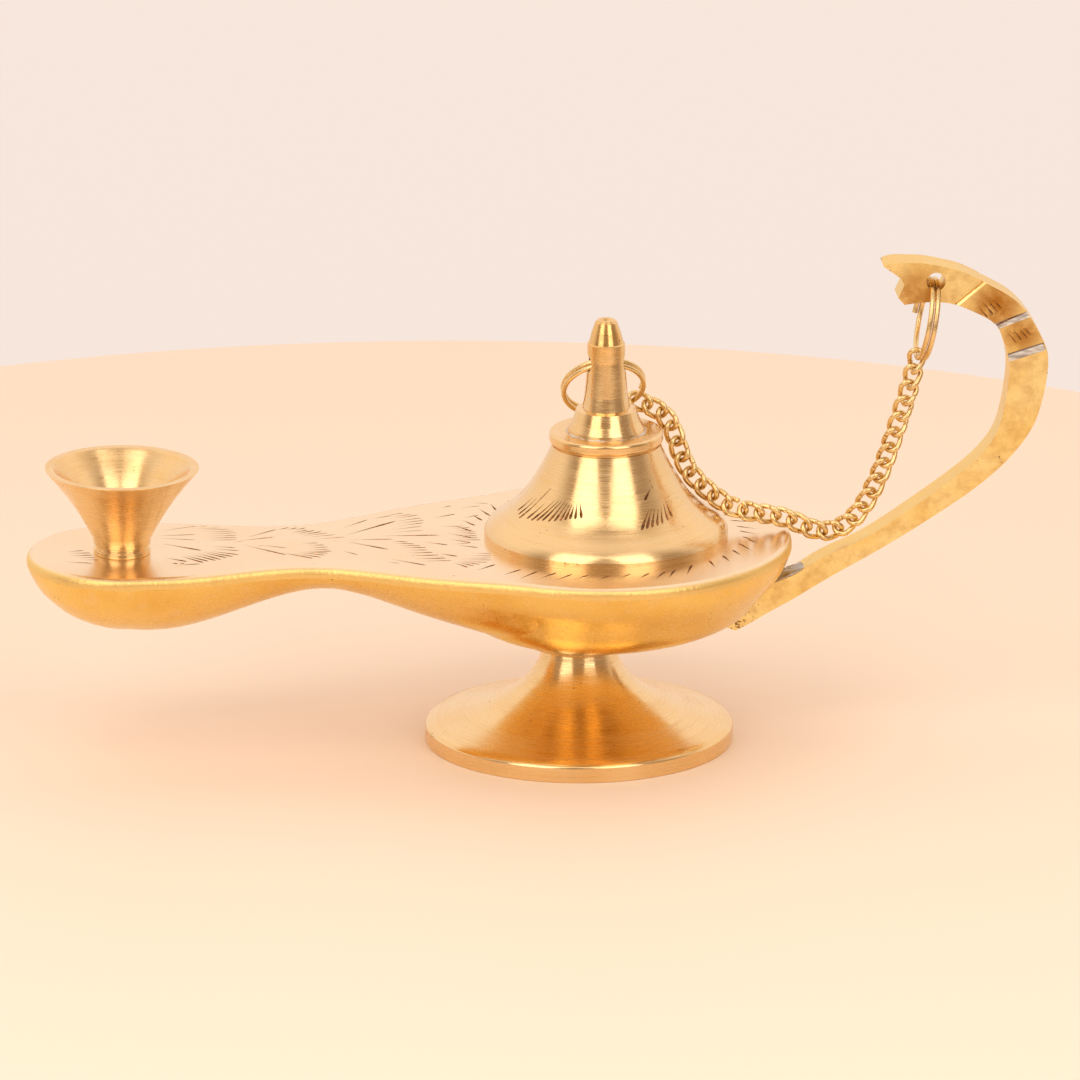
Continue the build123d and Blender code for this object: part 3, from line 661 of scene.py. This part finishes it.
# Fans on the bell, by the angle round the lid and the height in mm: low end, then high end
FAN_LEFT = [
    (-170.4, 39.5, -164.2, 41.9), (-165.8, 39.2, -158.2, 42.2), (-161.9, 38.9, -147.5, 44.2),
    (-154.6, 39.3, -147.2, 41.9), (-150.0, 39.3, -138.8, 42.7), (-145.6, 39.5, -135.2, 42.8),
    (-141.4, 39.7, -132.2, 42.9), (-136.4, 39.8, -129.4, 42.9), (-132.2, 40.0, -127.2, 42.8),
    (-128.2, 40.2, -124.9, 42.7), (-124.9, 40.4, -122.9, 42.7), (-121.6, 40.6, -121.2, 42.6),
    (-117.8, 40.7, -119.2, 42.8), (-113.6, 40.9, -116.9, 43.0),
]
FAN_RIGHT = [
    (-74.6, 39.2, -64.9, 41.7), (-70.8, 39.3, -62.2, 41.8), (-67.0, 39.4, -59.6, 41.7),
    (-62.9, 39.5, -56.7, 41.6), (-58.8, 39.6, -53.5, 41.8), (-53.3, 39.8, -50.2, 42.1),
    (-48.3, 40.1, -47.0, 42.4), (-65.8, 43.1, -57.0, 44.6),
]
# Fans on the far side: middle angle, half their spread, number of strokes
FAR_FANS = ((12, 17, 8), (78, 26, 12), (143, 24, 11))
# Widths in mm, and the rise in mm above which a stroke is a long one
LONG_WIDTH, SHORT_WIDTH, FAR_WIDTH = 0.5, 0.42, 0.44
LONG_FROM = 1.9
BELL_DEPTH = 0.22 * MM
# The step between the outline's points, in mm, and how far away the slope is read
OUTLINE_STEP = 0.1
SLOPE_REACH = 0.7 * MM


def bell_outline():
    """Radius of the bell at each height, read off the node itself."""
    seen = {}
    for vertex in frame["nodes"]["lid_bell"].data.vertices:
        radius = math.hypot(vertex.co.x - LID_X, vertex.co.y)
        key = round(vertex.co.z / (OUTLINE_STEP * MM))
        seen[key] = max(seen.get(key, 0.0), radius)
    return [(key * OUTLINE_STEP * MM, seen[key]) for key in sorted(seen)]


BELL = [item for item in bell_outline() if item[0] > FLANGE_TOP + 0.2 * MM]


def outline_near(z, reach=0.0):
    """The outline's next points below and above a height, at least a reach away."""
    below = max(item for item in BELL if item[0] <= z - reach)
    above = min(item for item in BELL if item[0] >= z + reach)
    return below, above


def on_bell(angle, height):
    """A point on the bell and the way out of it."""
    z = height * MM
    below, above = outline_near(z)
    span = above[0] - below[0]
    share = (z - below[0]) / span if span > 1e-9 else 0.0
    radius = below[1] + (above[1] - below[1]) * share
    below, above = outline_near(z, SLOPE_REACH)
    slope = (above[1] - below[1]) / (above[0] - below[0])
    turn = math.radians(angle)
    out = Vector((math.cos(turn), math.sin(turn), 0))
    return Vector((LID_X, 0, z)) + out * radius, (out - Vector((0, 0, slope))).normalized()


def bell_strokes():
    """The seen fans and those on the far side, each raised and deepened where the bell bulges under it."""
    hand = random.Random(11)
    rows = []
    for row in FAN_LEFT + FAN_RIGHT:
        rows.append((row, LONG_WIDTH if row[3] - row[1] > LONG_FROM else SHORT_WIDTH))
    for middle, half, count in FAR_FANS:
        for i in range(count):
            place = -1 + 2 * i / (count - 1)
            low_angle = middle + half * place + hand.uniform(-0.8, 0.8)
            low = 39.3 + 0.9 * place * place + hand.uniform(-0.2, 0.2)
            high_angle = middle + half * 0.72 * place + hand.uniform(-0.5, 0.5)
            high = 42.3 + hand.uniform(-0.3, 0.5)
            rows.append(((low_angle, low, high_angle, high), FAR_WIDTH))
    strokes = []
    for (low_angle, low, high_angle, high), width in rows:
        start, out_one = on_bell(high_angle, high)
        end, out_two = on_bell(low_angle, low)
        middle, out = on_bell((low_angle + high_angle) / 2, (low + high) / 2)
        sag = (middle - (start + end) / 2).dot(out)
        up = (out_one + out_two).normalized()
        shift = up * sag * 0.5
        strokes.append((start + shift, end + shift, up, width * MM, BELL_DEPTH + max(0.0, sag)))
    return strokes


bell = welded_copy("lid_bell", "bell_engraved", lid_finish, groove_finish)
carve(bell, stroke_mesh("bell_cuts", bell_strokes(), groove_finish))
borrow_normals(bell, "lid_bell", groove_finish)


# Turned pieces with their edges taken off

for node, name, finish, width in (
    ("foot", "foot_turned", foot_finish, 0.18),
    ("wick_cup", "cup_turned", cup_finish, 0.12),
):
    soften_edges(welded_copy(node, name, finish), width * MM)

# Pieces that keep their node's own mesh

for node, finish in (
    ("hull_shell", hull_finish), ("lid_collar", lid_finish), ("finial", finial_finish),
    ("foot_screw", screw_finish), ("lid_screw", lid_screw_finish),
    ("handle_ring", ring_finish), ("lid_ring", ring_finish),
):
    data = frame["nodes"][node].data
    data.materials.clear()
    data.materials.append(finish)


# Handle: chisel marks, filed grooves and soft edges

# The bar's slots: the second holds the dark cut metal, as tarnish in the cuts and as painted shade
BAR, TARNISH_AND_SHADE, FILED, EDGE = range(4)
# Chisel marks in mm: start x, start z, end x, end z
HANDLE_MARKS = [
    (64.3, 71.6, 66.2, 69.3), (65.2, 72.1, 67.0, 69.9), (66.0, 72.4, 67.8, 70.3), (64.0, 70.4, 65.3, 68.8),
    (67.0, 72.4, 68.3, 70.9), (69.4, 66.8, 70.8, 64.9), (70.3, 67.3, 71.6, 65.4), (71.3, 67.4, 72.6, 65.6),
    (72.1, 67.5, 73.1, 66.2),
]
MARK_WIDTH = 0.26 * MM
MARK_DEPTH = 0.10 * MM
# How far the bar's sides and its grooves' floors are from its middle plane
HANDLE_SIDE = 2.5 * MM
GROOVE_FLOOR = 2.0 * MM
# The ring's hole: its middle, x and z, and how far its edges reach
HANDLE_HOLE = (57.6 * MM, 75.7 * MM, 2.3 * MM)
# Filed grooves in mm: inner end, outer end and width, and whether filed bright
GROOVES = [
    (61.02, 71.66, 66.49, 76.09, 0.7, False), (67.10, 67.71, 73.02, 69.85, 1.1, True),
    (69.30, 62.41, 75.37, 64.23, 1.4, True),
]
# On a groove's lower side its floor is moved outward by this factor
FLOOR_SLOPE = 2.43 / 2.0
# Where a point counts as in a groove: off the middle plane, past the groove's sides in mm, and along it
GROOVE_BAND = (1.9 * MM, 2.47 * MM)
GROOVE_MARGIN = 0.04
GROOVE_RUN = (-0.4 * MM, 7.6 * MM)


def filed_metal():
    """Silvery file cuts with a dark line of painted shadow under each groove's upper side."""
    net = Net(bpy.data.materials.new("filed_metal"))
    place = net.place()
    streak = net.noise(net.vector("MULTIPLY", place, (0.25, 1, 1)), 1700)
    shade = net.mix(net.ramp(streak, 0.35, 0.65), FILED_GREY, FILED_BRIGHT)
    # Each groove gets a dark line of painted shadow under its upper side
    for x0, z0, x1, z1, width, _ in GROOVES:
        over = Vector((z0 - z1, 0, x1 - x0)).normalized()
        level = net.vector("DOT_PRODUCT", place, over)
        height = net.math("SUBTRACT", level, over.dot(Vector((x0, 0, z0))) * MM)
        begun = net.ramp(height, 0.1 * width * MM, 0.45 * width * MM)
        ended = net.ramp(height, 0.8 * width * MM, 1.1 * width * MM, 1.0, 0.0)
        shade = net.mix(net.math("MULTIPLY", begun, ended), shade, FILED_SHADOW)
    return net.finish(shade, net.ramp(streak, 0.3, 0.7, 0.28, 0.4), net.bump(streak, 0.02 * MM))


def handle_strokes():
    """The chisel marks, alike on both sides of the bar."""
    strokes = []
    for side in (-1, 1):
        for x0, z0, x1, z1 in HANDLE_MARKS:
            start = Vector((x0 * MM, side * HANDLE_SIDE, z0 * MM))
            end = Vector((x1 * MM, side * HANDLE_SIDE, z1 * MM))
            strokes.append((start, end, Vector((0, side, 0)), MARK_WIDTH, MARK_DEPTH))
    return strokes


def groove_at(point):
    """How far a point in a groove is above its middle line and whether it is filed bright, or None."""
    for x0, z0, x1, z1, width, bright in GROOVES:
        start = Vector((x0 * MM, 0, z0 * MM))
        along = Vector((x1 - x0, 0, z1 - z0)).normalized()
        over = Vector((-along.z, 0, along.x))
        off = Vector((point.x, 0, point.z)) - start
        between = abs(off.dot(over)) < (width / 2 + GROOVE_MARGIN) * MM
        if between and GROOVE_RUN[0] < off.dot(along) < GROOVE_RUN[1]:
            return off.dot(over), bright
    return None


def file_grooves(mesh):
    """Slopes each groove's floor from its deep upper side out to its lower side, and picks the slots: the
    bright grooves' upper walls take the dark cut metal as painted shade.
    """
    for vertex in mesh.vertices:
        if abs(abs(vertex.co.y) - GROOVE_FLOOR) < 0.03 * MM:
            found = groove_at(vertex.co)
            if found and found[0] < 0:
                vertex.co.y *= FLOOR_SLOPE
    mesh.update()
    for face in mesh.polygons:
        found = groove_at(face.center)
        inside = found is not None and GROOVE_BAND[0] < abs(face.center.y) < GROOVE_BAND[1]
        if inside and abs(face.normal.y) > 0.3:
            face.material_index = FILED if found[1] else BAR
        elif inside and found[0] > 0 and found[1]:
            # Painted shade: a bright groove's upper wall takes the dark cut metal
            face.material_index = TARNISH_AND_SHADE
        elif face.material_index == BAR and abs(face.normal.y) < 0.4:
            face.material_index = EDGE


handle = welded_copy("handle", "handle_bar", handle_finish, groove_finish, filed_metal(), edge_finish)
carve(handle, stroke_mesh("handle_cuts", handle_strokes(), groove_finish))
file_grooves(handle.data)
soften_edges(handle, 0.22 * MM, 40, HANDLE_HOLE)


# Chain: every link stands where its solid stands, in round wire with a butt joint

LINK_HALF_WIDTH = 1.25 * MM
LINK_WIRE = 0.9 * MM
LINK_CROWN = 1.908 * MM
LINK_TWIST = math.radians(45)
LINK_SIDES = 14
LINK_STEPS = 60
# Shares of the way round a link: where the wire's ends meet, and the fine gap between them
JOINT = 0.09
JOINT_GAP = 0.010
# The one link that is bent open: where, by how much, and which way its wire's end is bent
OPEN_LINK = "chain_link_19"
OPEN_JOINT = 0.125
OPENING = 0.07
OPEN_WAY = Vector((0.2, 0.5, 0.9))


def link_axes(node):
    """A link's middle and its long, wide and thin ways, from its solid's surface."""
    mesh = frame["nodes"][node].data
    total = sum(face.area for face in mesh.polygons)
    middle = sum((face.center * face.area for face in mesh.polygons), Vector()) / total
    spread = [[0.0] * 3 for _ in range(3)]
    for face in mesh.polygons:
        off = face.center - middle
        for i in range(3):
            for j in range(3):
                spread[i][j] += face.area * off[i] * off[j] / total
    values, ways = numpy.linalg.eigh(numpy.array(spread))
    order = numpy.argsort(values)[::-1]
    long_way = Vector(ways[:, order[0]])
    wide_way = Vector(ways[:, order[1]])
    return middle, long_way, wide_way, long_way.cross(wide_way)


def link_line(turn):
    """The middle of the wire at a share of the way round the link: a stadium, twisted along its length."""
    bend = LINK_CROWN - LINK_HALF_WIDTH
    straight = bend * 2
    arc = math.pi * LINK_HALF_WIDTH
    along = (turn % 1.0) * 2 * (straight + arc)
    if along < straight:
        flat = (bend - along, LINK_HALF_WIDTH)
    elif along < straight + arc:
        angle = math.pi / 2 + (along - straight) / LINK_HALF_WIDTH
        flat = (-bend + LINK_HALF_WIDTH * math.cos(angle), LINK_HALF_WIDTH * math.sin(angle))
    elif along < 2 * straight + arc:
        flat = (-bend + (along - straight - arc), -LINK_HALF_WIDTH)
    else:
        angle = -math.pi / 2 + (along - 2 * straight - arc) / LINK_HALF_WIDTH
        flat = (bend + LINK_HALF_WIDTH * math.cos(angle), LINK_HALF_WIDTH * math.sin(angle))
    twist = LINK_TWIST / LINK_CROWN * flat[0]
    return Vector((flat[0], flat[1] * math.cos(twist), flat[1] * math.sin(twist)))


def link_mesh(name, seed, opened=0.0):
    """One link of wire. The two ends of the wire meet at a fine joint, or stand apart where opened."""
    hand = random.Random(seed)
    joint = OPEN_JOINT if opened else JOINT + hand.uniform(-0.02, 0.02)
    work = bmesh.new()
    rings = []
    first = Vector((0, 0, 1))
    for step in range(LINK_STEPS + 1):
        share = step / LINK_STEPS
        turn = joint + JOINT_GAP / 2 + opened / 2 + share * (1 - JOINT_GAP - opened)
        here = link_line(turn)
        way = (link_line(turn + 0.002) - link_line(turn - 0.002)).normalized()
        first = (first - way * first.dot(way)).normalized()
        second = way.cross(first)
        radius = LINK_WIRE / 2 * (0.985 + 0.015 * math.sin(share * 19 + seed))
        if step in (0, LINK_STEPS):
            radius *= 0.86
        lift = Vector((0, 0, 0))
        if opened:
            lift = OPEN_WAY * (0.5 * MM) * max(0.0, 1 - share * 5)
        rings.append([
            work.verts.new(here + lift + (first * math.cos(a) + second * math.sin(a)) * radius)
            for a in (2 * math.pi * i / LINK_SIDES for i in range(LINK_SIDES))
        ])
    join_rings(work, rings)
    mesh = mesh_of(work, name)
    mesh.shade_smooth()
    mesh.set_sharp_from_angle(angle=math.radians(40))
    return mesh


for node in sorted(name for name in frame["nodes"] if name.startswith("chain_link_")):
    middle, long_way, wide_way, thin_way = link_axes(node)
    number = int(node[-2:])
    mesh = link_mesh(f"wire_link_{number:02d}", number, OPENING if node == OPEN_LINK else 0.0)
    turned = Matrix((long_way, wide_way, thin_way)).transposed().to_4x4()
    mesh.transform(Matrix.Translation(middle) @ turned)
    link = new_object(f"wire_link_{number:02d}", mesh, body_of_node[node], chain_finish)
    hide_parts(node)


# Solder

BEAD_THICKNESS = 0.22 * MM
BEAD_FLATNESS = 0.6
BEAD_STEPS = 160
BEAD_SIDES = 8
# The lump at the handle: from the corner up the bar's inner side
LUMP_START = Vector((30.6 * MM, 0, 25.2 * MM))
LUMP_END = Vector((36.8 * MM, 0, 28.1 * MM))
LUMP_STEPS = 40
LUMP_ACROSS = 28
LUMP_HEIGHT = 1.15 * MM
LUMP_HALF_WIDTH = 2.42 * MM
# How far its top sinks at its edges, and how deep it reaches under them
LUMP_SUNK = 0.08 * MM
LUMP_ROOT = 0.6 * MM


def bead_ring(name, centre, radius, body, material, seed):
    """An uneven bead of solder round a joint."""
    hand = random.Random(seed)
    phases = [(hand.uniform(0, 6.28), n, hand.uniform(0.1, 0.3)) for n in (2, 3, 5, 9, 14, 23)]
    work = bmesh.new()
    rings = []
    for step in range(BEAD_STEPS):
        turn = 2 * math.pi * step / BEAD_STEPS
        swell = 1 + sum(size * math.sin(n * turn + phase) for phase, n, size in phases)
        size = BEAD_THICKNESS * max(0.25, swell)
        out = Vector((math.cos(turn), math.sin(turn), 0))
        ring = []
        for i in range(BEAD_SIDES):
            a = 2 * math.pi * i / BEAD_SIDES
            rise = Vector((0, 0, size * BEAD_FLATNESS * math.sin(a)))
            ring.append(work.verts.new(centre + out * (radius + size * math.cos(a)) + rise))
        rings.append(ring)
    join_rings(work, rings, closed=True)
    mesh = mesh_of(work, name)
    mesh.shade_smooth()
    new_object(name, mesh, body, material)


def handle_solder():
    """The lump of solder that fills the corner between the hull and the bar's inner side."""
    hand = random.Random(9)
    waves = [
        (hand.uniform(0, 6.28), hand.uniform(0, 6.28), n, hand.uniform(0.05, 0.16)) for n in (1, 2, 3, 5, 7, 9)
    ]
    way = LUMP_END - LUMP_START
    out = Vector((-way.z, 0, way.x)).normalized()
    work = bmesh.new()
    tops = []
    for i in range(LUMP_STEPS + 1):
        row = []
        for j in range(LUMP_ACROSS + 1):
            u, v = i / LUMP_STEPS, 2 * j / LUMP_ACROSS - 1
            lumps = 1 + sum(size * math.sin(n * 3 * u + a) * math.cos(n * 2 * v + b) for a, b, n, size in waves)
            height = LUMP_HEIGHT * (1 - u) ** 0.8 * max(0.0, 1 - v * v) ** 0.35 * max(0.3, lumps)
            wide = LUMP_HALF_WIDTH * (1 - 0.3 * u * u)
            foot = LUMP_START.lerp(LUMP_END, u) + Vector((0, v * wide, 0))
            row.append(work.verts.new(foot + out * (height - LUMP_SUNK)))
        tops.append(row)
    for one, two in zip(tops, tops[1:]):
        for j in range(LUMP_ACROSS):
            work.faces.new((one[j], one[j + 1], two[j + 1], two[j]))
    rim = tops[0][:-1] + [row[-1] for row in tops[:-1]] + tops[-1][:0:-1] + [row[0] for row in tops[:0:-1]]
    low = [work.verts.new(corner.co - out * LUMP_ROOT) for corner in rim]
    for i in range(len(rim)):
        j = (i + 1) % len(rim)
        work.faces.new((rim[i], rim[j], low[j], low[i]))
    work.faces.new(low)
    mesh = mesh_of(work, "handle_solder")
    mesh.shade_smooth()
    new_object("handle_solder", mesh, "lamp", solder_finish)


handle_solder()
bead_ring("finial_solder", Vector((LID_X, 0, COLLAR_TOP)), 6.25 * MM, "lid", pale_solder_finish, 3)
bead_ring("foot_solder", Vector((0, 0, FOOT_TOP)), 6.05 * MM, "lamp", solder_finish, 5)


# Stage: a round pale floor, its far edge seen behind the lamp, its near half stretched to the viewer

FLOOR_PALE = (0.95, 0.78, 0.63, 1)
FLOOR_RADIUS = 0.2
FLOOR_NEAR_STRETCH = 2.5
FLOOR_PLACE = (-0.0184, 0.0229, 0)

floor_mesh = bpy.data.meshes.new("floor")
floor_work = bmesh.new()
bmesh.ops.create_circle(floor_work, cap_ends=True, segments=256, radius=FLOOR_RADIUS)
for corner in floor_work.verts:
    corner.co.y *= 1.0 if corner.co.y > 0 else FLOOR_NEAR_STRETCH
floor_work.to_mesh(floor_mesh)
floor_work.free()
floor = bpy.data.objects.new("floor", floor_mesh)
floor.location = FLOOR_PLACE
floor_mesh.materials.append(Net(bpy.data.materials.new("floor_pale")).finish(FLOOR_PALE, 0.6, metallic=0.0))
scene.collection.objects.link(floor)


# Light: a room that is darker in front, and two softboxes

ROOM_FRONT = (0.42, 0.30, 0.22, 1)
WALL_LOW = (0.93, 0.79, 0.71, 1)
WALL_HIGH = (1.15, 1.0, 0.9, 1)
BOX_COLOUR = (1.0, 0.94, 0.87)
BOX_ELEVATION = math.radians(40)
BOX_DISTANCE = 0.9
BOX_HEIGHT = 1.0
BOX_TARGET = Vector((-0.01, 0, 0.035))

scene.world = bpy.data.worlds.new("studio")
sky = Net(scene.world)
sky_way = sky.parts(sky.place("Generated"))
to_back = sky.ramp(sky_way[1], -0.35, 0.25)
to_top = sky.ramp(sky_way[2], -0.3, 0.6, curve="LINEAR")
wall = sky.mix(to_top, WALL_LOW, WALL_HIGH)
sky_light = sky.feed(sky.node("ShaderNodeBackground"), sky.mix(to_back, ROOM_FRONT, wall), 1.0)
sky.feed(sky.node("ShaderNodeOutputWorld"), sky_light.outputs[0])


def softbox(name, azimuth, width, power):
    """An area light aimed at the lamp, azimuth degrees to the viewer's right. It isn't seen itself."""
    light = bpy.data.lights.new(name, "AREA")
    light.shape = "RECTANGLE"
    light.size = width
    light.size_y = BOX_HEIGHT
    light.energy = power
    light.color = BOX_COLOUR
    thing = bpy.data.objects.new(name, light)
    scene.collection.objects.link(thing)
    a, e = math.radians(azimuth), BOX_ELEVATION
    back = Vector((math.sin(a) * math.cos(e), -math.cos(a) * math.cos(e), math.sin(e)))
    thing.location = BOX_TARGET + back * BOX_DISTANCE
    thing.rotation_mode = "QUATERNION"
    thing.rotation_quaternion = (-back).to_track_quat("-Z", "Y")
    thing.visible_camera = False


softbox("left_box", -43, 0.55, 3.4)
softbox("right_box", 26, 0.5, 3.1)


# The camera: 17.2 degrees up, 6.5 degrees round to the spout, 6 m away through a long lens

LOOK_UP = math.radians(17.2)
LOOK_ROUND = math.radians(6.5)
DISTANCE_MM = 6000
PIXELS_PER_MM = 6.18
PICTURE_PIXELS = 1080
SENSOR_WIDTH = 36
# Where the picture's middle looks: left of the model's origin and above it
LOOK_LEFT = 6.31 * MM
LOOK_ABOVE = 31.88 * MM

right = Vector((math.cos(LOOK_ROUND), -math.sin(LOOK_ROUND), 0))
upward = Vector((
    math.sin(LOOK_ROUND) * math.sin(LOOK_UP), math.cos(LOOK_ROUND) * math.sin(LOOK_UP), math.cos(LOOK_UP)
))
ahead = upward.cross(right)
camera_data = bpy.data.cameras.new("camera")
camera_data.sensor_width = SENSOR_WIDTH
camera_data.lens = SENSOR_WIDTH * (PIXELS_PER_MM * DISTANCE_MM / PICTURE_PIXELS)
camera_data.clip_start = 0.01
camera_data.clip_end = 20
camera = bpy.data.objects.new("camera", camera_data)
scene.collection.objects.link(camera)
camera.location = -ahead * (DISTANCE_MM * MM) - right * LOOK_LEFT + upward * LOOK_ABOVE
camera.rotation_mode = "QUATERNION"
camera.rotation_quaternion = ahead.to_track_quat("-Z", "Y")
scene.camera = camera
scene.view_settings.view_transform = "Standard"
scene.view_settings.look = "None"
scene.view_settings.exposure = 0.0
